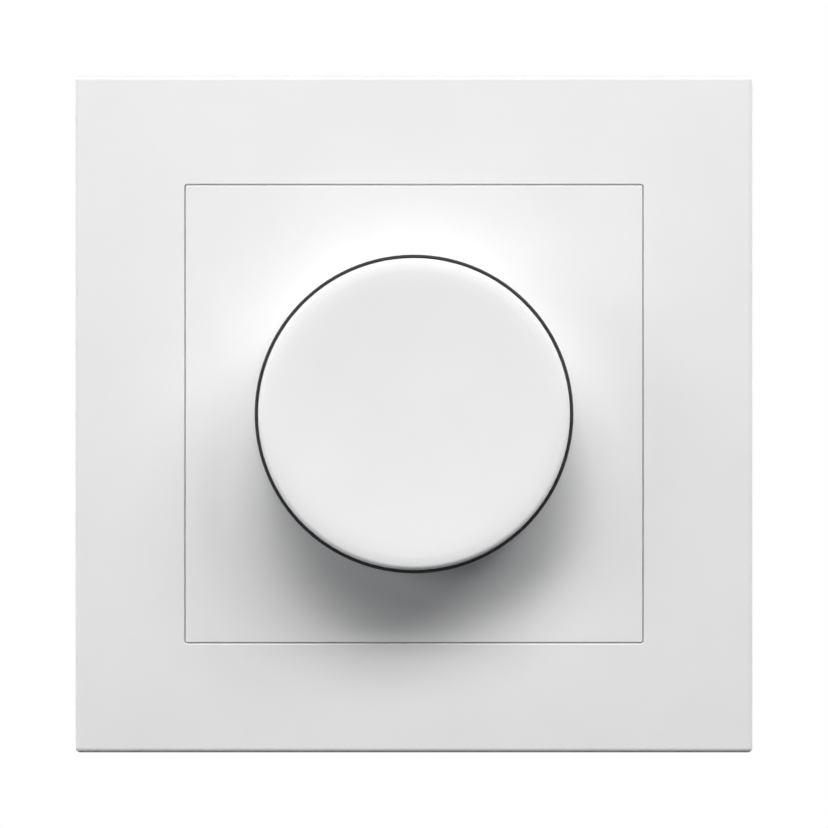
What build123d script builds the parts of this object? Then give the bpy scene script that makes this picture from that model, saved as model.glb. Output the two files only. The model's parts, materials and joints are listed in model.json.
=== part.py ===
from build123d import *
import os
from math import asin, atan2, cos, radians, sin, sqrt

# A flush-mounted rotary push dimmer: a square cover frame, a centre plate with a round well, a knob
# that turns and pushes in it, and the insert behind the wall that carries and switches it.
#
# Every piece is drawn as a person in front of the wall sees it: x to the right, y up and z out of
# the wall into the room, in millimetres, with z = 0 on the wall and z below 0 in the wall box. The
# last step stands the pieces up, so that the wall is the XZ plane and the front faces -Y.

# Cover frame
frame_side = 81.4
frame_flare = 0.1
frame_height = 10.0
frame_skirt = 2.2
frame_front = 2.2
frame_edge = 0.55
frame_rib = 1.2
frame_rib_place = 14.0
frame_rib_depth = 3.2
window_wall = 1.5
window_edge = 0.2
window_gap = 0.08
ledge_top = 5.0
ledge_wall = 1.2
ledge_width = 1.3

# Centre plate with its well
plate_side = 55.0
plate_corner = 0.25
plate_edge = 0.15
plate_front = 2.0
plate_skirt = 1.6
plate_rib = 1.2
well_floor = 1.6
well_wall = 1.5
well_lip = 0.8

# Dark guide ring between the well and the knob
ring_face = 0.24
ring_wall = 0.56
ring_below_face = 0.1
snug = 0.02

# Knob
knob_r = 18.77
knob_draft = 0.1
knob_stand = 12.5
knob_round = 0.6
knob_rim = 1.45
knob_crown = 5.0
knob_blend = 18.0
knob_dish = 0.75
knob_wall = 1.8
knob_face = 2.0
knob_gap = 0.14
knob_floor_room = 0.6
knob_ribs = 6
knob_rib = 1.0
hub_r = 4.0
hub_room = 0.4
clip_wall = 0.5
clip_height = 1.6
clip_opening = 40.0
push_travel = 1.0
turn_range = 290.0

# Shaft, its bushing and the nuts on it
spindle_r = 2.0
spindle_flat = 1.5
spindle_end_room = 0.2
flat_fit = 0.02
running = 0.05
collar_r = 3.0
collar_wall = 0.9
bushing_r = 5.0
bushing_proud = 0.7
bushing_flange_r = 6.2
bushing_flange = 0.8
bushing_hole_room = 0.3
thread_fit = 0.05
plate_nut_r = 8.0
plate_nut_height = 1.9
plate_nut_grips = 12
bushing_nut_flats = 14.0
bushing_nut_height = 2.2
clear = 0.3

# Control behind the plate: the turning resistor and the push switch behind it
pot_side = 17.0
pot_wall = 1.0
pot_cavity_r = 7.4
pot_depth = 7.2
pot_corner = 1.0
wafer_wall = 0.8
wafer_hole_room = 0.6
wiper_hub_r = 3.6
wiper_hub_height = 2.1
wiper_lug_r = 7.0
wiper_finger_wide = 1.2
stop_in_r = 5.2
stop_half_angle = 25.0
stop_room_angle = 2.0
switch_side = 14.0
switch_height = 6.0
switch_roof = 0.6
switch_floor = 1.0
switch_cavity_r = 4.0
plunger_r = 3.6
plunger_head = 1.2
plunger_stem_r = 1.4
plunger_stem = 1.3
spring_r = 2.4
spring_wire = 0.5
spring_turns = 3

# Insert housing in the wall box
insert_wall = 1.6
insert_corner = 1.2
insert_edge = 1.0
board_ledge = 1.1
board_wall = 1.6
board_room = 0.4
part_gap = 0.8
boss_inset = 4.0
boss_turn_angle = 35.5
boss_r = 2.8
vent_slots = 5
vent_pitch = 4.0
vent_wide = 1.5
vent_long = 10.0
vent_y = 11.0

# Parts on the circuit board
choke_x = -8.0
choke_room = 0.4
choke_r = 5.4
choke_hole_r = 3.0
choke_height = 5.0
winding_wall = 0.7
winding_arc = 300.0
film_x = 9.0
film_room = 3.0
film_long, film_wide, film_height = 13.0, 5.0, 10.5
film_corner = 0.6
electrolytic_x = 3.0
electrolytic_r = 4.0
electrolytic_neck = 1.6
neck_r = 0.5
score = 0.3
fuse_x = -8.0
fuse_r, fuse_height = 4.2, 8.0
triac_room = 1.0
triac_long, triac_wide = 15.6, 10.0
triac_body_long, triac_body = 9.2, 4.4
triac_tab = 1.3
triac_hole_r = 1.8
lead_pitch, lead_wide, lead_wall, lead_reach = 2.54, 0.8, 0.5, 1.5
pad_wall = 0.3

# Terminals
terminal_pitch = 8.0
terminal_wide, terminal_long, terminal_height = 6.0, 7.0, 6.0
terminal_wall = 1.0
terminal_room = 0.8
entry_side = 3.4
entry_funnel = 0.6
terminal_screw_r = 1.25
terminal_head_r = 2.2
terminal_head = 1.1

# Support plate and its claws
support_room = 3.0
support_corner = 6.0
support_wall = 1.2
box_screw_pitch = 60.0
box_slot_long = 5.2
box_slot_half = 2.1
housing_screw_r = 1.25
housing_screw_long = 9.0
housing_head_r = 2.4
housing_head = 1.4
claw_pivot_x = 26.0
claw_pivot_z = -2.5
claw_wall = 1.2
claw_width = 8.0
claw_foot_width = 5.0
claw_foot = 6.9
claw_knuckle_r = 1.4
claw_jog = 0.6
claw_leg = 16.0
claw_tip = 3.0
claw_tip_out = 1.5
claw_tooth = 1.8
claw_teeth = 3
claw_swing = 22.0
pin_r = 0.8
pin_proud = 0.5
ear_wall = 1.2
ear_r = 1.6
pocket_room = 0.7
claw_screw_x = 20.5
claw_screw_r = 1.5
claw_screw_tip_r = 1.4
claw_head_r = 2.4
claw_head = 1.5
claw_collar_r = 2.7
claw_collar = 1.1
driver_slot = 0.8

# The claw screw pushes the claw's foot. Its round tip stays one clearance above the foot, also when
# the claw has swung out, and that gives its travel.
claw_arm = claw_pivot_x - claw_screw_x
foot_top = claw_pivot_z + claw_wall / 2
tip_centre = foot_top + clear + claw_screw_tip_r
swing = radians(claw_swing)
tip_reach = claw_screw_tip_r + clear + claw_wall / 2
tip_centre_swung = claw_pivot_z + (tip_reach - claw_arm * sin(swing)) / cos(swing)
claw_screw_travel = tip_centre - tip_centre_swung
claw_head_low = support_wall + claw_screw_travel + clear
claw_head_top = claw_head_low + claw_head
ear_in = claw_width / 2 + clear
pocket_half = ear_in + ear_wall + pocket_room
boss_turn = radians(boss_turn_angle)

# Heights in front of the wall. The well's floor lies just in front of the claw screws' heads.
face = frame_height
window_side = plate_side + 2 * window_gap
support_side = frame_side - 2 * (frame_skirt + support_room)
ledge_low = ledge_top - ledge_wall
floor_low = claw_head_top + clear
floor_top = floor_low + well_floor
lip_low = face - well_lip
knob_front = face + knob_stand
knob_rear = floor_top + push_travel + knob_floor_room
knob_roof = knob_front - knob_dish - knob_face
nut_top = floor_top + plate_nut_height
bushing_front = nut_top + bushing_proud
hub_rear = bushing_front + push_travel + hub_room
clip_rear = hub_rear + hub_room
knob_rib_rear = clip_rear + clip_height + clear
bore_end = knob_roof - knob_face / 4
spindle_front = bore_end - spindle_end_room

# Heights behind the wall, down to the board and the terminals under it. They set the housing's depth.
flange_rear = -pot_wall - bushing_flange
collar_front = flange_rear - clear
collar_rear = collar_front - collar_wall
wiper_front = collar_rear - push_travel - clear
wiper_rear = wiper_front - wiper_hub_height
pot_rear = -pot_depth
wafer_rear = pot_rear - wafer_wall
switch_rear = wafer_rear - switch_height
switch_roof_low = wafer_rear - switch_roof
plunger_front = switch_roof_low - clear
plunger_collar = plunger_front - plunger_head
spindle_rear = plunger_front + clear
spring_seat = switch_rear + switch_floor
board_front = switch_rear
board_rear = board_front - board_wall
terminal_rear = board_rear - terminal_height
entry_z = terminal_rear + terminal_wall + entry_side / 2
housing_floor = terminal_rear - terminal_room
housing_rear = housing_floor - insert_wall
triac_low = -pad_wall - triac_body
electrolytic_height = triac_low - part_gap - board_front

# Places on the board, beside the control. The lowest of them sets where the housing's flat side is,
# and the choke, which reaches furthest out, sets its radius.
choke_y = pot_side / 2 + choke_room + choke_r + winding_wall
film_y = pot_side / 2 + film_room + film_wide / 2
triac_y = -(pot_side / 2 + triac_room + triac_wide / 2)
insert_flat = triac_wide / 2 - triac_y + board_room + insert_wall
insert_r = sqrt(choke_x**2 + choke_y**2) + choke_r + winding_wall + part_gap + insert_wall
pocket_x = claw_screw_x - claw_collar_r
terminal_y = clear + insert_wall - insert_flat + terminal_long / 2

# Radii of the ring that fills the well
ring_in_r = knob_r + knob_gap
ring_lip_r = ring_in_r + ring_face
ring_out_r = ring_in_r + ring_wall


def slab(outline, low, high):
    """A flat outline, thick from one height to another."""
    return extrude(Pos(0, 0, low) * outline, high - low)


def block(wide, tall, low, high, x=0.0, y=0.0):
    return slab(Pos(x, y) * Rectangle(wide, tall), low, high)


def rod(radius, low, high, x=0.0, y=0.0):
    return slab(Pos(x, y) * Circle(radius), low, high)


def turned(*corners, start=0.0, arc=360.0):
    """Corners given as (radius, height), turned about the shaft's axis."""
    profile = make_face(Plane.XZ * Polyline(*corners, close=True))
    return Rot(0, 0, start) * revolve(profile, Axis.Z, arc)


def cross_rod(radius, length, x, z):
    """A round bar that lies along y."""
    return Pos(x, 0, z) * Rot(90, 0, 0) * Cylinder(radius, length)


def rim(body):
    """The outer edges of the foremost face."""
    return body.faces().sort_by(Axis.Z)[-1].outer_wire().edges()


def both_sides(piece):
    """The right-hand piece, and the same one half a turn round."""
    return [piece, Rot(0, 0, 180) * piece]


def cover_frame():
    wall_side = frame_side + 2 * frame_flare
    corner_r = frame_edge + snug
    at_wall = RectangleRounded(wall_side, wall_side, corner_r)
    at_front = RectangleRounded(frame_side, frame_side, corner_r)
    body = loft([at_wall, Pos(0, 0, face) * at_front], ruled=True)
    body = fillet(rim(body), frame_edge)
    roof = face - frame_front
    inside = frame_side - 2 * frame_skirt
    body -= slab(Rectangle(inside, inside), 0, roof)
    walls = window_side + 2 * window_wall
    body += slab(Rectangle(walls, walls), ledge_low, roof)
    rib_middle = (inside + walls) / 4
    for quarter in range(4):
        for place in (-frame_rib_place, frame_rib_place):
            rib = block((inside - walls) / 2, frame_rib, roof - frame_rib_depth, roof, rib_middle, place)
            body += Rot(0, 0, 90 * quarter) * rib
    window_corner = plate_corner + window_gap
    body -= slab(RectangleRounded(window_side, window_side, window_corner), ledge_top, face)
    opening = window_side - 2 * ledge_width
    body -= slab(Rectangle(opening, opening), ledge_low, ledge_top)
    window = body.faces().sort_by(Axis.Z)[-1].inner_wires()[0].edges()
    return fillet(window, window_edge)


def centre_plate():
    body = slab(RectangleRounded(plate_side, plate_side, plate_corner), ledge_top, face)
    body = fillet(rim(body), plate_edge)
    roof = face - plate_front
    inside = plate_side - 2 * plate_skirt
    body -= slab(Rectangle(inside, inside), ledge_top, roof)
    well_out_r = ring_out_r + snug + well_wall
    body += rod(well_out_r, floor_low, roof)
    rib_end = inside / sqrt(2) + plate_skirt / 2
    rib_middle = (well_out_r + rib_end) / 2
    for quarter in range(4):
        rib = block(rib_end - well_out_r + well_wall, plate_rib, floor_low, roof, rib_middle)
        body += Rot(0, 0, 45 + 90 * quarter) * rib
    body -= rod(ring_out_r + snug, floor_top, lip_low)
    body -= rod(ring_lip_r + snug, lip_low, face)
    return body - rod(bushing_r + bushing_hole_room, floor_low, floor_top)


def guide_ring():
    return turned(
        (ring_in_r, floor_top),
        (ring_out_r, floor_top),
        (ring_out_r, lip_low - snug),
        (ring_lip_r, lip_low - snug),
        (ring_lip_r, face - ring_below_face),
        (ring_in_r, face - ring_below_face),
    )


def shaft_bore(low, high):
    """A hole for the flattened shaft."""
    side = 2 * spindle_r
    flat = spindle_flat + flat_fit
    outline = Circle(spindle_r + flat_fit) - Pos(0, flat + side / 2) * Rectangle(2 * side, side)
    return slab(outline, low, high)


def knob():
    """A cap with a dished face. The face's highest line runs round just inside the rim: inwards it
    blends into the dish, outwards it falls over a crown to a small round at the side."""
    front_r = knob_r - knob_draft
    rim_r = front_r - knob_rim
    reach = (rim_r**2 + knob_dish**2) / (2 * knob_dish)
    slope = asin(rim_r / reach)

    def fall(arc_r, aside):
        """The point of an arc that tops out on the highest line, this far aside of it."""
        return rim_r + aside, knob_front - arc_r + sqrt(arc_r**2 - aside**2)

    side, dish_edge = fall(knob_crown, knob_rim), fall(knob_blend, -knob_blend * sin(slope))
    outline = Polyline(dish_edge, (0, dish_edge[1]), (0, knob_rear), (knob_r, knob_rear), side)
    outline += ThreePointArc(side, fall(knob_crown, knob_rim / 2), (rim_r, knob_front))
    blend_middle = fall(knob_blend, -knob_blend * sin(slope / 2))
    outline += ThreePointArc((rim_r, knob_front), blend_middle, dish_edge)
    body = revolve(make_face(Plane.XZ * outline), Axis.Z)
    circles = body.edges().filter_by(GeomType.CIRCLE)
    body = fillet(circles.filter_by(lambda edge: abs(edge.radius - front_r) < snug), knob_round)
    dish_r = reach - knob_blend
    body -= Pos(0, 0, knob_front - knob_dish + dish_r) * Rot(90, 0, 0) * Sphere(dish_r)
    inside_r = knob_r - knob_draft - knob_wall
    body -= rod(inside_r, knob_rear, knob_roof)
    body += rod(hub_r, hub_rear, knob_roof)
    rib_long = inside_r - hub_r + knob_wall / 2
    rib_middle = hub_r - knob_wall / 4 + rib_long / 2
    rib = block(rib_long, knob_rib, knob_rib_rear, knob_roof, rib_middle)
    for step in range(knob_ribs):
        body += Rot(0, 0, 360 * step / knob_ribs) * rib
    return body - shaft_bore(hub_rear, bore_end)


def knob_clip():
    return turned(
        (hub_r, clip_rear),
        (hub_r + clip_wall, clip_rear),
        (hub_r + clip_wall, clip_rear + clip_height),
        (hub_r, clip_rear + clip_height),
        start=270 + clip_opening / 2,
        arc=360 - clip_opening,
    )


def spindle():
    body = rod(spindle_r, spindle_rear, spindle_front)
    body += rod(collar_r, collar_rear, collar_front)
    cut_y = spindle_flat + spindle_r
    for low, high in ((spindle_rear, collar_rear), (hub_rear, spindle_front)):
        body -= block(4 * spindle_r, 2 * spindle_r, low, high, 0, cut_y)
    return body


def bushing():
    body = rod(bushing_r, flange_rear, bushing_front)
    body += rod(bushing_flange_r, flange_rear, -pot_wall)
    return body - rod(spindle_r + running, flange_rear, bushing_front)


def bushing_nut():
    outline = RegularPolygon(bushing_nut_flats / 2, 6, major_radius=False)
    outline -= Circle(bushing_r + thread_fit)
    return slab(outline, support_wall, support_wall + bushing_nut_height)


def plate_nut():
    body = rod(plate_nut_r, floor_top, nut_top)
    for grip in PolarLocations(plate_nut_r, plate_nut_grips):
        body -= grip * rod(plate_nut_r / 10, floor_top, nut_top)
    return body - rod(bushing_r + thread_fit, floor_top, nut_top)


def pot_body():
    outline = RectangleRounded(pot_side, pot_side, pot_corner)
    body = slab(outline, pot_rear, 0) - rod(pot_cavity_r, pot_rear, -pot_wall)
    stop = turned(
        (stop_in_r, pot_rear + clear),
        (pot_cavity_r + pot_wall / 2, pot_rear + clear),
        (pot_cavity_r + pot_wall / 2, -pot_wall),
        (stop_in_r, -pot_wall),
        start=270 - stop_half_angle,
        arc=2 * stop_half_angle,
    )
    stop -= rod(bushing_flange_r + clear, flange_rear - clear, -pot_wall)
    return body + stop - rod(bushing_r + thread_fit, -pot_wall, 0)


def resistor_wafer():
    body = slab(RectangleRounded(pot_side, pot_side, pot_corner), wafer_rear, pot_rear)
    return body - rod(spindle_r + wafer_hole_room, wafer_rear, pot_rear)


def wiper_carrier():
    """The turning contact. Its lug stands at the off stop and meets the other side at full turn."""
    body = rod(wiper_hub_r, wiper_rear, wiper_front)
    lug_half = (360 - turn_range) / 2 - stop_half_angle - stop_room_angle
    lug_middle = 270 - (360 - turn_range) / 2
    inner_r = wiper_hub_r - wiper_finger_wide / 2
    for middle, outer_r, low in (
        (lug_middle, wiper_lug_r, wiper_rear),
        (lug_middle + 180, stop_in_r, pot_rear + clear),
    ):
        body += turned(
            (inner_r, low),
            (outer_r, low),
            (outer_r, wiper_front),
            (inner_r, wiper_front),
            start=middle - lug_half,
            arc=2 * lug_half,
        )
    return body - shaft_bore(wiper_rear, wiper_front)


def switch_body():
    body = slab(RectangleRounded(switch_side, switch_side, pot_corner), switch_rear, wafer_rear)
    body -= rod(switch_cavity_r, spring_seat, switch_roof_low)
    return body - rod(spindle_r + wafer_hole_room, switch_roof_low, wafer_rear)


def switch_plunger():
    head = rod(plunger_r, plunger_collar, plunger_front)
    return head + rod(plunger_stem_r, plunger_collar - plunger_stem, plunger_collar)


def return_spring():
    low = spring_seat + spring_wire / 2 + snug
    high = plunger_collar - spring_wire / 2 - snug
    path = Helix((high - low) / spring_turns, high - low, spring_r, center=(0, 0, low))
    section = Plane(origin=path @ 0, z_dir=path % 0) * Circle(spring_wire / 2)
    return sweep(section, path)


def insert_outline(inset, flat_inset):
    """The insert as seen from the front, made smaller by an inset: round, flat at the bottom where
    the wires go in, with a pocket on each side for the claws."""
    outline = Circle(insert_r - inset)
    cut = insert_r
    outline -= Pos(0, flat_inset - insert_flat - cut / 2) * Rectangle(2 * insert_r, cut)
    pocket = Rectangle(cut, 2 * (pocket_half + inset))
    for side in (-1, 1):
        outline -= Pos(side * (pocket_x - inset + cut / 2), 0) * pocket
    return outline


def on_terminals(piece):
    """The same piece once for each terminal, side by side."""
    return [Pos(x, 0, 0) * piece for x in (-terminal_pitch, 0, terminal_pitch)]


def boss_places():
    """Where the two housing screws sit: lower right and upper left."""
    across, up = (insert_r - boss_inset) * cos(boss_turn), (insert_r - boss_inset) * sin(boss_turn)
    return ((across, -up), (-across, up))


def housing():
    outline = insert_outline(0, 0)
    body = slab(fillet(outline.vertices(), insert_corner), housing_rear, 0)
    body = fillet(body.faces().sort_by(Axis.Z)[0].edges(), insert_edge)
    body -= slab(insert_outline(insert_wall, insert_wall), board_rear, 0)
    body -= slab(insert_outline(insert_wall + board_ledge, insert_wall), housing_floor, board_rear)
    for x, y in boss_places():
        body += rod(boss_r, housing_floor, 0, x, y)
        body -= rod(housing_screw_r + thread_fit, support_wall - housing_screw_long - clear, 0, x, y)
    entry = Pos(0, insert_wall - insert_flat, entry_z) * Box(entry_side, 4 * insert_wall, entry_side)
    mouth = Rectangle(entry_side + 2 * entry_funnel, entry_side + 2 * entry_funnel)
    throat = Pos(0, 0, entry_funnel) * Rectangle(entry_side, entry_side)
    entry += Pos(0, -insert_flat, entry_z) * Rot(-90, 0, 0) * loft([mouth, throat], ruled=True)
    screw_way = rod(terminal_head_r + clear, housing_rear, housing_floor, 0, terminal_y)
    body -= on_terminals(entry) + on_terminals(screw_way)
    for step in range(vent_slots):
        x = (step - (vent_slots - 1) / 2) * vent_pitch
        slot = Pos(x, vent_y) * SlotOverall(vent_long, vent_wide, rotation=90)
        body -= slab(slot, housing_rear, housing_floor)
    return body


def housing_screws():
    screws = []
    head_top = support_wall + housing_head
    for x, y in boss_places():
        screw = rod(housing_screw_r, support_wall - housing_screw_long, support_wall, x, y)
        screw += rod(housing_head_r, support_wall, head_top, x, y)
        screw -= block(2 * housing_head_r, driver_slot, head_top - driver_slot, head_top, x, y)
        screws.append(screw)
    return screws


def circuit_board():
    inset = insert_wall + board_room
    body = slab(insert_outline(inset, inset), board_rear, board_front)
    for x, y in boss_places():
        body -= rod(boss_r + clear, board_rear, board_front, x, y)
    return body


def choke_core():
    low = board_front + winding_wall
    body = rod(choke_r, low, low + choke_height, choke_x, choke_y)
    return body - rod(choke_hole_r, low, low + choke_height, choke_x, choke_y)


def choke_winding():
    top = board_front + choke_height + 2 * winding_wall
    inner_r = choke_hole_r - winding_wall
    outer_r = choke_r + winding_wall
    coil = turned(
        (inner_r, board_front),
        (outer_r, board_front),
        (outer_r, top),
        (inner_r, top),
        arc=winding_arc,
    )
    return Pos(choke_x, choke_y, 0) * coil - choke_core()


def film_capacitor():
    """A moulded box with softened corners."""
    outline = Pos(film_x, film_y) * RectangleRounded(film_long, film_wide, film_corner)
    body = slab(outline, board_front, board_front + film_height)
    return fillet(rim(body), film_corner / 2)


def electrolytic_capacitor():
    """A can in a shrunk sleeve: a pinched neck near its foot, and a scored lid."""
    top = board_front + electrolytic_height
    neck = board_front + electrolytic_neck
    body = rod(electrolytic_r, board_front, top)
    body -= Pos(0, 0, neck) * Torus(electrolytic_r + neck_r / 2, neck_r)
    for turn in (0, 90):
        body -= Rot(0, 0, turn) * block(electrolytic_r, score, top - score, top)
    return Pos(electrolytic_x, triac_y, 0) * body


def triac():
    tab_top = -pad_wall
    left = -triac_long / 2
    body_x = triac_long / 2 - triac_body_long / 2
    body = block(triac_long, triac_wide, tab_top - triac_tab, tab_top, 0, triac_y)
    body -= rod(triac_hole_r, tab_top - triac_tab, tab_top, left + triac_wide / 4, triac_y)
    body += block(triac_body_long, triac_wide, tab_top - triac_body, tab_top, body_x, triac_y)
    lead_z = tab_top - triac_body / 2
    for step in (-1, 0, 1):
        y = triac_y + step * lead_pitch
        reach_x = triac_long / 2 + lead_reach / 2
        body += block(lead_reach, lead_wide, lead_z - lead_wall, lead_z, reach_x, y)
        drop_x = triac_long / 2 + lead_reach - lead_wall / 2
        body += block(lead_wall, lead_wide, board_front, lead_z, drop_x, y)
    return body


def terminal_clamps():
    clamp = block(terminal_wide, terminal_long, terminal_rear, board_rear, 0, terminal_y)
    clamp -= Pos(0, terminal_y, entry_z) * Box(entry_side, 2 * terminal_long, entry_side)
    clamp -= rod(terminal_screw_r + thread_fit, terminal_rear, entry_z, 0, terminal_y)
    return on_terminals(clamp)


def terminal_screws():
    head_front = terminal_rear - clear
    screw = rod(terminal_head_r, head_front - terminal_head, head_front, 0, terminal_y)
    screw += rod(terminal_screw_r, head_front, terminal_rear + terminal_wall, 0, terminal_y)
    low = head_front - terminal_head
    screw -= block(2 * terminal_head_r, driver_slot, low, low + driver_slot, 0, terminal_y)
    return on_terminals(screw)


def ear(y_low):
    """One of the two lugs, bent back from the support plate, that carry a claw's pin."""
    middle = y_low + ear_wall / 2
    lug = block(2 * ear_r, ear_wall, claw_pivot_z, 0, claw_pivot_x, middle)
    return lug + Pos(0, middle, 0) * cross_rod(ear_r, ear_wall, claw_pivot_x, claw_pivot_z)


def support_plate():
    body = slab(RectangleRounded(support_side, support_side, support_corner), 0, support_wall)
    slot = SlotOverall(box_slot_long, 2 * box_slot_half)
    for quarter in range(4):
        place = Rot(0, 0, 90 * quarter) * Pos(box_screw_pitch / 2, 0, 0)
        body -= place * slab(slot, 0, support_wall)
    body -= rod(bushing_r + thread_fit, 0, support_wall)
    for x, y in boss_places():
        body -= rod(housing_screw_r + clear, 0, support_wall, x, y)
    ear_drop = ear_r - claw_pivot_z
    for turn in (0, 180):
        side = Rot(0, 0, turn)
        body += side * rod(claw_collar_r, -claw_collar, 0, claw_screw_x)
        body -= side * rod(claw_screw_r + running, -claw_collar, support_wall, claw_screw_x)
        for y_low, window_y in (
            (ear_in, ear_in + ear_wall + ear_drop / 2),
            (-ear_in - ear_wall, -ear_in - ear_wall - ear_drop / 2),
        ):
            body += side * ear(y_low)
            body -= side * block(2 * ear_r, ear_drop, 0, support_wall, claw_pivot_x, window_y)
        body -= side * cross_rod(pin_r + snug, 2 * pocket_half, claw_pivot_x, claw_pivot_z)
    return body


def claw():
    """The right-hand claw: a bent steel strip with a rolled knuckle on its pin. The screw pushes its
    foot back, and the toothed end swings outwards."""
    leg_x = claw_pivot_x - claw_jog
    jog_z = claw_pivot_z - claw_jog - 2 * claw_wall
    leg_z = claw_pivot_z - claw_leg
    tip_x, tip_z = leg_x + claw_tip_out, leg_z - claw_tip
    line = Polyline((claw_pivot_x, claw_pivot_z), (leg_x, jog_z), (leg_x, leg_z), (tip_x, tip_z))
    strip = extrude(Plane.XZ * trace(line, claw_wall), claw_width / 2, both=True)
    tooth_pitch = claw_width / claw_teeth
    slope = atan2(claw_tip_out, claw_tip)
    for step in range(claw_teeth - 1):
        y = (step + 1 - claw_teeth / 2) * tooth_pitch
        corners = ((-tooth_pitch / 2, 0), (tooth_pitch / 2, 0), (0, claw_tooth))
        notch = make_face(Polyline(*corners, close=True))
        end = Plane(origin=(tip_x, y, tip_z), x_dir=(0, 1, 0), z_dir=(cos(slope), 0, sin(slope)))
        strip -= extrude(end * notch, 2 * claw_wall, both=True)
    foot_middle = claw_pivot_x - claw_foot / 2
    foot = block(claw_foot, claw_foot_width, foot_top - claw_wall, foot_top, foot_middle)
    body = strip + foot + cross_rod(claw_knuckle_r, claw_width, claw_pivot_x, claw_pivot_z)
    return body - cross_rod(pin_r + running, 2 * claw_width, claw_pivot_x, claw_pivot_z)


def claw_pin():
    length = 2 * (ear_in + ear_wall + pin_proud)
    return cross_rod(pin_r, length, claw_pivot_x, claw_pivot_z)


def claw_screw():
    body = rod(claw_screw_r, tip_centre, claw_head_low, claw_screw_x)
    body += Pos(claw_screw_x, 0, tip_centre) * Sphere(claw_screw_tip_r)
    body += rod(claw_head_r, claw_head_low, claw_head_top, claw_screw_x)
    slot_low = claw_head_top - driver_slot
    return body - block(2 * claw_head_r, driver_slot, slot_low, claw_head_top, claw_screw_x)


claws, claw_screws = both_sides(claw()), both_sides(claw_screw())
pieces = {
    "cover_frame": [cover_frame()],
    "centre_plate": [centre_plate()],
    "guide_ring": [guide_ring()],
    "knob": [knob()],
    "knob_clip": [knob_clip()],
    "plate_nut": [plate_nut()],
    "spindle": [spindle()],
    "bushing": [bushing()],
    "bushing_nut": [bushing_nut()],
    "pot_body": [pot_body()],
    "resistor_wafer": [resistor_wafer()],
    "wiper_carrier": [wiper_carrier()],
    "switch_body": [switch_body()],
    "switch_plunger": [switch_plunger()],
    "return_spring": [return_spring()],
    "circuit_board": [circuit_board()],
    "choke_core": [choke_core()],
    "choke_winding": [choke_winding()],
    "triac": [triac()],
    "thermal_pad": [block(triac_long, triac_wide, -pad_wall, 0, 0, triac_y)],
    "film_capacitor": [film_capacitor()],
    "electrolytic_capacitor": [electrolytic_capacitor()],
    "fuse": [rod(fuse_r, board_front, board_front + fuse_height, fuse_x, triac_y)],
    "terminal_clamps": terminal_clamps(),
    "terminal_screws": terminal_screws(),
    "housing": [housing()],
    "housing_screws": housing_screws(),
    "support_plate": [support_plate()],
    "claw_right": [claws[0]],
    "claw_left": [claws[1]],
    "claw_pins": both_sides(claw_pin()),
    "claw_screw_right": [claw_screws[0]],
    "claw_screw_left": [claw_screws[1]],
}

stand_up = Rot(90, 0, 0)
os.makedirs("parts", exist_ok=True)
for name, solids in pieces.items():
    standing = [stand_up * solid for solid in solids]
    export_step(standing[0] if len(standing) == 1 else Compound(standing), f"parts/{name}.step")
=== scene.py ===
import json
import math

import bpy
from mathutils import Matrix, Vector


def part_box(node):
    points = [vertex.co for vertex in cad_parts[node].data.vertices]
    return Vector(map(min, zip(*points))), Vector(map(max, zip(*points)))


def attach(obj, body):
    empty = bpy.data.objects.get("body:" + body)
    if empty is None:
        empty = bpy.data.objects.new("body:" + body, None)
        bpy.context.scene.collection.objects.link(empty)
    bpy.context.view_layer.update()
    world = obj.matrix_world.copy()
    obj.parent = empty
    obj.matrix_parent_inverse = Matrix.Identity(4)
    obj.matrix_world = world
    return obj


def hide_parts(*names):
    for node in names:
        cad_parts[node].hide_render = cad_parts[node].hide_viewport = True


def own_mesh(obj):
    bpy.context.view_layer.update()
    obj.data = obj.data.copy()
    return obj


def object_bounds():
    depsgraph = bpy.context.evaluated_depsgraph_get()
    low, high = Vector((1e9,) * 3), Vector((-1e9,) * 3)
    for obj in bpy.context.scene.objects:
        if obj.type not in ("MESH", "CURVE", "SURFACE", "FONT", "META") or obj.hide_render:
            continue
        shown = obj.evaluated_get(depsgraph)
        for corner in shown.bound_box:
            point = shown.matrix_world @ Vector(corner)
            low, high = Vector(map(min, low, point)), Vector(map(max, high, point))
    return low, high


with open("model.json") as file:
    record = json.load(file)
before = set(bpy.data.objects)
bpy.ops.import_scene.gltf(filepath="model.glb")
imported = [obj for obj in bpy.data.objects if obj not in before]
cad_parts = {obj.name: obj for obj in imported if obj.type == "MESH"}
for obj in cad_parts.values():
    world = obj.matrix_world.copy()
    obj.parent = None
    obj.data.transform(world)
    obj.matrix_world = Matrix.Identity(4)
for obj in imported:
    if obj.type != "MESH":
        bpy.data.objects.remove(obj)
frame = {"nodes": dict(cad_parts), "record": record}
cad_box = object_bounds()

# The looks of a flush-mounted rotary push dimmer. The front faces -Y, +Z is up, and all lengths are
# in metres.
MM = 0.001

# Framing: the seam between the centre plate and the frame measures 458 of the photo's 828 pixels
IMAGE_PIXELS = 828
SEAM_PIXELS = 458
SEAM_WIDTH = 55.08 * MM
LENS_MM, SENSOR_MM = 1200.0, 36.0
VIEW_END = 20.0

nodes = frame["nodes"]
scene = bpy.context.scene
plate_low, plate_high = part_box("centre_plate")
plate_middle = (plate_low + plate_high) / 2
target = Vector((plate_middle.x, plate_low.y, plate_middle.z))

# Blender's noise lies mostly between these two values
NOISE_LOW, NOISE_HIGH = 0.3, 0.7
PLASTIC_IOR = 1.49
# Rolling stretches a sheet's marks along Z by the inverse of the last number
ROLLED = (1.0, 1.0, 0.12)
# A copper track ends over this range of the distance from the middle line between two cells
TRACK_EDGE = (0.06, 0.09)
# How much of a thread's pitch its ridges are high
THREAD_DEPTH = 0.5


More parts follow.
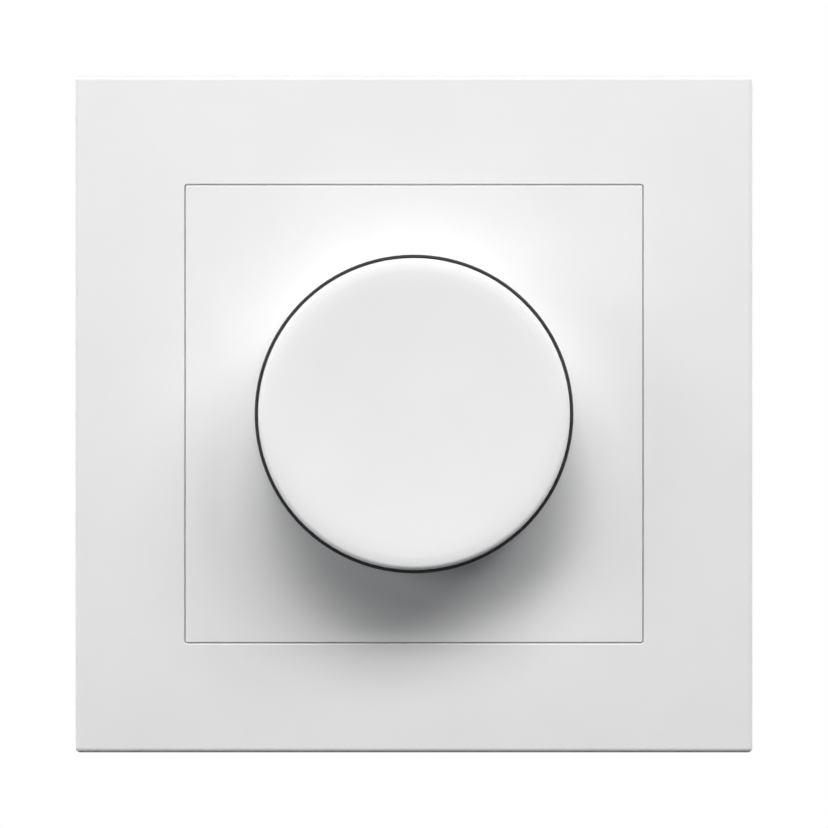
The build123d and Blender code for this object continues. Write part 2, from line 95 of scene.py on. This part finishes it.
def new_material(name):
    """A material with its node tree and its shader."""
    material = bpy.data.materials.new(name)
    material.use_nodes = True
    tree = material.node_tree
    return material, tree, tree.nodes["Principled BSDF"]


def add(tree, kind, **values):
    """A node of this kind. Each value sets a property of the node, or else an input of that name."""
    node = tree.nodes.new(kind)
    for key, value in values.items():
        if hasattr(node, key) and key not in node.inputs:
            setattr(node, key, value)
        else:
            node.inputs[key.replace("_", " ")].default_value = value
    return node


def maths(tree, operation, first, second=None):
    """A maths node. The first input is an output of another node, the second one that or a number."""
    node = add(tree, "ShaderNodeMath", operation=operation)
    tree.links.new(first, node.inputs[0])
    if isinstance(second, bpy.types.NodeSocket):
        tree.links.new(second, node.inputs[1])
    elif second is not None:
        node.inputs[1].default_value = second
    return node.outputs["Value"]


def object_point(tree):
    """The object's own coordinates, in metres."""
    return tree.nodes.new("ShaderNodeTexCoord").outputs["Object"]


def place(tree, scale=(1.0, 1.0, 1.0)):
    """The object's own coordinates, stretched by a scale."""
    mapping = add(tree, "ShaderNodeMapping", Scale=scale)
    tree.links.new(object_point(tree), mapping.inputs["Vector"])
    return mapping.outputs["Vector"]


def split(tree, vector):
    """The outputs X, Y and Z of a vector."""
    parts = tree.nodes.new("ShaderNodeSeparateXYZ")
    tree.links.new(vector, parts.inputs["Vector"])
    return parts.outputs


def noise(tree, vector, size, detail=4.0, roughness=0.55):
    """Cloudy noise whose lumps are about this size."""
    node = add(
        tree, "ShaderNodeTexNoise", Scale=1.0 / size, Detail=detail, Roughness=roughness
    )
    tree.links.new(vector, node.inputs["Vector"])
    return node.outputs["Fac"]


def spread(tree, value, low, high, start=NOISE_LOW, end=NOISE_HIGH):
    """A value that runs from start to end, spread to run from low to high."""
    node = add(
        tree, "ShaderNodeMapRange", From_Min=start, From_Max=end, To_Min=low, To_Max=high
    )
    tree.links.new(value, node.inputs["Value"])
    return node.outputs["Result"]


def shades(tree, value, dark, light):
    """A colour between two shades, by noise."""
    node = add(tree, "ShaderNodeValToRGB")
    first, last = node.color_ramp.elements
    first.position, first.color = NOISE_LOW, (*dark, 1.0)
    last.position, last.color = NOISE_HIGH, (*light, 1.0)
    tree.links.new(value, node.inputs["Fac"])
    return node.outputs["Color"]


def bump(tree, shader, height, depth, strength=1.0):
    """Relief of this depth."""
    node = add(tree, "ShaderNodeBump", Strength=strength, Distance=depth)
    tree.links.new(height, node.inputs["Height"])
    tree.links.new(node.outputs["Normal"], shader.inputs["Normal"])


def scaled(colour, factor):
    """A colour made lighter or darker."""
    return tuple(min(1.0, channel * factor) for channel in colour)


def paint(tree, shader, value, dark, light):
    """Gives the shader a colour between two shades, by noise."""
    tree.links.new(shades(tree, value, dark, light), shader.inputs["Base Color"])


def uneven_gloss(tree, shader, value, rough, least, most):
    """Lets the roughness vary with noise, between two shares of the value given."""
    varied = spread(tree, value, rough * least, rough * most)
    tree.links.new(varied, shader.inputs["Roughness"])


def moulded(
    name, colour, rough, grain=0.25 * MM, relief=0.002 * MM, cloud=0.015, sheen=0.5, flow=14 * MM
):
    """Moulded plastic: slow shade changes from the flow, a fine skin and slightly uneven gloss."""
    material, tree, shader = new_material(name)
    vector = place(tree)
    clouds = noise(tree, vector, flow, detail=3.0)
    paint(tree, shader, clouds, scaled(colour, 1 - cloud), scaled(colour, 1 + cloud))
    skin = noise(tree, vector, grain, detail=5.0)
    uneven_gloss(tree, shader, skin, rough, 0.88, 1.12)
    bump(tree, shader, skin, relief)
    shader.inputs["IOR"].default_value = PLASTIC_IOR
    shader.inputs["Specular IOR Level"].default_value = sheen
    return material


def rolled_metal(name, colour, rough, patch=5 * MM, mark=0.18 * MM, relief=0.004 * MM):
    """Plated or bare sheet metal: rolling marks along Z, and soft patches of shade."""
    material, tree, shader = new_material(name)
    patches = noise(tree, place(tree), patch, detail=4.0)
    paint(tree, shader, patches, scaled(colour, 0.86), scaled(colour, 1.08))
    marks = noise(tree, place(tree, ROLLED), mark, detail=6.0, roughness=0.6)
    uneven_gloss(tree, shader, marks, rough, 0.75, 1.3)
    bump(tree, shader, marks, relief)
    shader.inputs["Metallic"].default_value = 1.0
    return material


def within(tree, vector, height, span):
    """The height where Y lies in the span, and nothing elsewhere."""
    for limit, comparison in zip(span, ("GREATER_THAN", "LESS_THAN")):
        inside = maths(tree, comparison, split(tree, vector)["Y"], limit)
        height = maths(tree, "MULTIPLY", height, inside)
    return height


def turned_metal(
    name, colour, rough, pitch=0.12 * MM, ridge=0.01 * MM, thread=0.0, thread_span=None, patch=2 * MM
):
    """Metal turned about Y: fine tool rings, or thread ridges where a pitch for them is given. The
    thread may be kept to a span along Y."""
    material, tree, shader = new_material(name)
    vector = place(tree)
    patches = noise(tree, vector, patch)
    paint(tree, shader, patches, scaled(colour, 0.9), scaled(colour, 1.06))
    uneven_gloss(tree, shader, patches, rough, 0.8, 1.25)
    spacing = thread if thread else pitch
    # At scale 1 the texture has a band each pi / 10
    band_scale = math.pi / (10 * spacing)
    rings = add(
        tree, "ShaderNodeTexWave", wave_type="BANDS", bands_direction="Y",
        Distortion=0.4, Scale=band_scale,
    )
    tree.links.new(vector, rings.inputs["Vector"])
    height = rings.outputs["Fac"]
    if thread_span:
        height = within(tree, vector, height, thread_span)
    bump(tree, shader, height, spacing * THREAD_DEPTH if thread else ridge, 0.8)
    shader.inputs["Metallic"].default_value = 1.0
    return material


def board_green(name, cell=3.2 * MM, relief=0.03 * MM):
    """Circuit board: solder mask over copper tracks, seen as slightly raised lighter lines."""
    material, tree, shader = new_material(name)
    cells = add(
        tree, "ShaderNodeTexVoronoi", feature="DISTANCE_TO_EDGE", Scale=1.0 / cell
    )
    tree.links.new(place(tree), cells.inputs["Vector"])
    tracks = spread(tree, cells.outputs["Distance"], 1.0, 0.0, *TRACK_EDGE)
    paint(tree, shader, tracks, (0.012, 0.10, 0.035), (0.03, 0.19, 0.06))
    bump(tree, shader, tracks, relief)
    shader.inputs["Roughness"].default_value = 0.32
    return material


def wound_copper(name, node, turns=34, relief=0.2 * MM):
    """Enamelled wire wound round the choke's core: ridges that fan out from the core's middle. The
    grooves between the ridges are darkened with painted shade.
    """
    material, tree, shader = new_material(name)
    low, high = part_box(node)
    centred = add(tree, "ShaderNodeVectorMath", operation="SUBTRACT")
    centred.inputs[1].default_value = (low + high) / 2
    tree.links.new(object_point(tree), centred.inputs[0])
    parts = split(tree, centred.outputs["Vector"])
    angle = maths(tree, "ARCTAN2", parts["Z"], parts["X"])
    ridges = maths(tree, "SINE", maths(tree, "MULTIPLY", angle, turns))
    # Painted shade: the wire's colour darkens into the grooves between the turns and is lightest on
    # the crests
    groove_shade = spread(tree, ridges, NOISE_LOW, NOISE_HIGH, start=-1.0, end=1.0)
    paint(tree, shader, groove_shade, (0.16, 0.05, 0.02), (0.62, 0.25, 0.09))
    bump(tree, shader, ridges, relief)
    shader.inputs["Metallic"].default_value = 0.6
    shader.inputs["Roughness"].default_value = 0.3
    return material


def grainy(name, dark, light, rough, grain, relief):
    """A sintered, soft or fibrous stuff with visible grains of two shades."""
    material, tree, shader = new_material(name)
    grains = noise(tree, place(tree), grain, detail=6.0, roughness=0.7)
    paint(tree, shader, grains, dark, light)
    uneven_gloss(tree, shader, grains, rough, 0.85, 1.15)
    bump(tree, shader, grains, relief)
    return material


# One material for each slot that the record names
WHITE = (0.78, 0.78, 0.78)
# Painted light: the knob is the frame's white plastic made 6.5 % lighter, standing in for more light
# on its face
KNOB_PAINTED_LIGHT_WHITE = scaled(WHITE, 1.065)
ZINC = (0.66, 0.68, 0.71)
OUTER_SHEEN = 0.35
materials = {
    "frame_plastic": moulded("frame_plastic", WHITE, 0.42, sheen=OUTER_SHEEN),
    "knob_plastic": moulded("knob_plastic", KNOB_PAINTED_LIGHT_WHITE, 0.42, sheen=OUTER_SHEEN),
    "ring_plastic": moulded(
        "ring_plastic", (0.028, 0.028, 0.030), 0.45, cloud=0.08, sheen=OUTER_SHEEN
    ),
    "spring_steel": turned_metal("spring_steel", (0.56, 0.56, 0.57), 0.25),
    "nut_plastic": moulded("nut_plastic", (0.62, 0.62, 0.60), 0.45, cloud=0.04),
    "shaft_steel": turned_metal("shaft_steel", (0.60, 0.60, 0.61), 0.22),
    "bushing_brass": turned_metal(
        "bushing_brass", (0.62, 0.57, 0.45), 0.3, thread=0.75 * MM
    ),
    "zinc_steel": rolled_metal("zinc_steel", (0.63, 0.65, 0.68), 0.34),
    "pot_plastic": moulded("pot_plastic", (0.015, 0.025, 0.06), 0.4, cloud=0.1),
    "phenolic": grainy(
        "phenolic", (0.13, 0.05, 0.02), (0.27, 0.12, 0.045), 0.5, 0.5 * MM, 0.01 * MM
    ),
    "contact_plastic": moulded("contact_plastic", (0.70, 0.68, 0.60), 0.5, cloud=0.04),
    "switch_plastic": moulded("switch_plastic", (0.012, 0.012, 0.012), 0.4, cloud=0.1),
    "board_laminate": board_green("board_laminate"),
    "ferrite": grainy(
        "ferrite", (0.02, 0.02, 0.022), (0.07, 0.07, 0.075), 0.6, 0.3 * MM, 0.02 * MM
    ),
    "copper_wire": wound_copper("copper_wire", "choke_winding"),
    "triac_epoxy": moulded(
        "triac_epoxy", (0.010, 0.010, 0.011), 0.55, relief=0.01 * MM, cloud=0.1
    ),
    "silicone_pad": grainy(
        "silicone_pad", (0.16, 0.17, 0.18), (0.26, 0.27, 0.29), 0.7, 0.6 * MM, 0.02 * MM
    ),
    "capacitor_yellow": moulded("capacitor_yellow", (0.72, 0.44, 0.03), 0.4, cloud=0.06),
    "capacitor_sleeve": moulded("capacitor_sleeve", (0.008, 0.014, 0.05), 0.3, cloud=0.1),
    "fuse_plastic": moulded("fuse_plastic", (0.010, 0.010, 0.010), 0.45, cloud=0.1),
    "terminal_brass": rolled_metal("terminal_brass", (0.72, 0.60, 0.32), 0.3),
    "housing_plastic": moulded(
        "housing_plastic", (0.045, 0.048, 0.052), 0.55,
        grain=0.16 * MM, relief=0.012 * MM, cloud=0.1,
    ),
}
finishes = {
    entry["node"]: materials[entry["material_slot"]] for entry in frame["record"]["subparts"]
}

# The screws get their threads, each behind its head. A head of less than 0 is at the far end.
for name, head, pitch in (
    # name, then the head's length and the thread's pitch in millimetres
    ("claw_screw_right", 1.6, 0.5),
    ("claw_screw_left", 1.6, 0.5),
    ("housing_screws", 1.5, 0.7),
    ("terminal_screws", -1.2, 0.5),
):
    low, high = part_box(name)
    span = (low.y + head * MM, high.y) if head > 0 else (low.y, high.y + head * MM)
    finishes[name] = turned_metal(name, ZINC, 0.3, thread=pitch * MM, thread_span=span)
for name, finish in finishes.items():
    nodes[name].data.materials.clear()
    nodes[name].data.materials.append(finish)


def add_object(name, data):
    """An object with this data, in the scene."""
    thing = bpy.data.objects.new(name, data)
    scene.collection.objects.link(thing)
    return thing


# Return spring: how thick its wire is, and how finely the coil and the wire's round are drawn
WIRE_R = 0.25 * MM
SPRING_TURNS, TURN_STEPS, WIRE_SIDES = 3, 36, 10
# The share of the coil at each end that lies flat
END_REST = 0.15


def spring_mesh(name, low, high):
    """A coil about Y that fills the box between two corners."""
    coil_r = high.x - WIRE_R
    start, end = low.y + WIRE_R, high.y - WIRE_R
    steps = SPRING_TURNS * TURN_STEPS
    points = []
    for step in range(steps + 1):
        climb = (step / steps - END_REST) / (1 - 2 * END_REST)
        middle_y = start + (end - start) * min(1.0, max(0.0, climb))
        turn = 2 * math.pi * step / TURN_STEPS
        for side in range(WIRE_SIDES):
            around = 2 * math.pi * side / WIRE_SIDES
            out = coil_r + WIRE_R * math.cos(around)
            y = middle_y + WIRE_R * math.sin(around)
            points.append((out * math.cos(turn), y, out * math.sin(turn)))
    last_ring = range(steps * WIRE_SIDES, (steps + 1) * WIRE_SIDES)
    faces = [tuple(range(WIRE_SIDES)), tuple(reversed(last_ring))]
    for step in range(steps):
        for side in range(WIRE_SIDES):
            a = step * WIRE_SIDES + side
            b = step * WIRE_SIDES + (side + 1) % WIRE_SIDES
            faces.append((a, a + WIRE_SIDES, b + WIRE_SIDES, b))
    mesh = bpy.data.meshes.new(name)
    mesh.from_pydata(points, [], faces)
    mesh.polygons.foreach_set("use_smooth", [len(face) == 4 for face in faces])
    return mesh


# The spring stands on the switch's floor, and the plunger shortens it by the push's travel
spring_low, spring_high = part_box("return_spring")
spring = add_object("spring_coil", spring_mesh("spring_coil", spring_low, spring_high))
spring.data.materials.append(materials["spring_steel"])
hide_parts("return_spring")
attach(spring, "insert")
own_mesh(spring)


# Camera straight in front, so far away that the view is almost without perspective
field = SEAM_WIDTH * IMAGE_PIXELS / SEAM_PIXELS
camera_data = bpy.data.cameras.new("camera")
camera_data.lens = LENS_MM
camera_data.sensor_width = SENSOR_MM
camera_data.clip_end = VIEW_END
camera = add_object("camera", camera_data)
camera.location = target - Vector((0, field * LENS_MM / SENSOR_MM, 0))
camera.rotation_euler = (math.radians(90), 0, 0)
scene.camera = camera
scene.view_settings.view_transform = "Standard"


# Lamps: all are square, soft and equally far from the plate
LAMP_DISTANCE = 0.7
FRONT_SIZE, REAR_SIZE = 0.28, 0.4


def add_lamp(name, clock, tilt, size, power):
    """A lamp that points at the plate. clock is the way to it, in degrees clockwise from straight up
    as seen from the room, and tilt is its angle off the plate's axis."""
    clock, tilt = math.radians(clock), math.radians(tilt)
    aside = math.sin(tilt)
    way = Vector((aside * math.sin(clock), -math.cos(tilt), aside * math.cos(clock)))
    light = bpy.data.lights.new(name, "AREA")
    light.shape = "SQUARE"
    light.size = size
    light.energy = power
    lamp = add_object(name, light)
    lamp.location = target + way * LAMP_DISTANCE
    lamp.rotation_euler = way.to_track_quat("Z", "Y").to_euler()


# The seven lamps from top to left_low have their directions and powers from a scratch program, which
# fitted candidate lamps to the light in the photo. Their powers were then adjusted. The side lamps
# light the rims, those behind light the back, and both were set one by one.
for lamp in (
    # name, clock, tilt, size, power
    ("top", 0, 42, FRONT_SIZE, 1.88),
    ("top_left", -20, 42, FRONT_SIZE, 0.64),
    ("top_left_near", -20, 32, FRONT_SIZE, 0.92),
    ("top_right", 20, 42, FRONT_SIZE, 0.80),
    ("right", 40, 52, FRONT_SIZE, 1.54),
    ("left", -80, 52, FRONT_SIZE, 0.80),
    ("left_low", -80, 72, FRONT_SIZE, 0.25),
    ("side_left", -90, 96, FRONT_SIZE, 1.3),
    ("side_right", 90, 96, FRONT_SIZE, 1.3),
    ("behind_left", -60, 125, REAR_SIZE, 2.2),
    ("behind_right", 60, 125, REAR_SIZE, 2.2),
):
    add_lamp(*lamp)
# The side lamps would show as a blank white glare in the claws' flat metal
for name in ("side_left", "side_right"):
    bpy.data.objects[name].visible_glossy = False


# World: white where it is seen directly, in a reflection or through glass, and otherwise no light
world = bpy.data.worlds.new("studio")
scene.world = world
world.use_nodes = True
tree = world.node_tree
tree.nodes.clear()
ray = tree.nodes.new("ShaderNodeLightPath").outputs
seen = maths(tree, "MAXIMUM", ray["Is Camera Ray"], ray["Is Glossy Ray"])
seen = maths(tree, "MAXIMUM", seen, ray["Is Transmission Ray"])
dark = add(tree, "ShaderNodeBackground", Strength=0.0)
white = add(tree, "ShaderNodeBackground", Color=(1.0, 1.0, 1.0, 1.0), Strength=1.0)
mix = tree.nodes.new("ShaderNodeMixShader")
tree.links.new(seen, mix.inputs["Fac"])
tree.links.new(dark.outputs["Background"], mix.inputs[1])
tree.links.new(white.outputs["Background"], mix.inputs[2])
output = tree.nodes.new("ShaderNodeOutputWorld")
tree.links.new(mix.outputs["Shader"], output.inputs["Surface"])


# Floor: plain and pale, well below the object
FLOOR_DROP, FLOOR_HALF = 1.0, 0.9
# How far the floor is lit up to the background's white where it is seen directly
FLOOR_FADE = 0.85
floor_z = cad_box[0][2] - FLOOR_DROP
floor_corners = [
    (x * FLOOR_HALF, y * FLOOR_HALF, floor_z) for x, y in ((-1, -1), (1, -1), (1, 1), (-1, 1))
]
floor_mesh = bpy.data.meshes.new("floor")
floor_mesh.from_pydata(floor_corners, [], [(0, 1, 2, 3)])
floor = add_object("floor", floor_mesh)
floor_white = grainy(
    "floor_white", (0.70, 0.77, 0.88), (0.74, 0.80, 0.90), 0.8, 4 * MM, 0.01 * MM
)
floor_mesh.materials.append(floor_white)

# Seen directly the floor is as pale as the background, and it still shows what shadow falls on it
tree = floor_white.node_tree
ray = tree.nodes.new("ShaderNodeLightPath").outputs
fade = maths(tree, "MULTIPLY", ray["Is Camera Ray"], FLOOR_FADE)
pale = add(tree, "ShaderNodeEmission", Color=(1.0, 1.0, 1.0, 1.0), Strength=1.0)
mix = tree.nodes.new("ShaderNodeMixShader")
tree.links.new(fade, mix.inputs["Fac"])
tree.links.new(tree.nodes["Principled BSDF"].outputs["BSDF"], mix.inputs[1])
tree.links.new(pale.outputs["Emission"], mix.inputs[2])
tree.links.new(mix.outputs["Shader"], tree.nodes["Material Output"].inputs["Surface"])
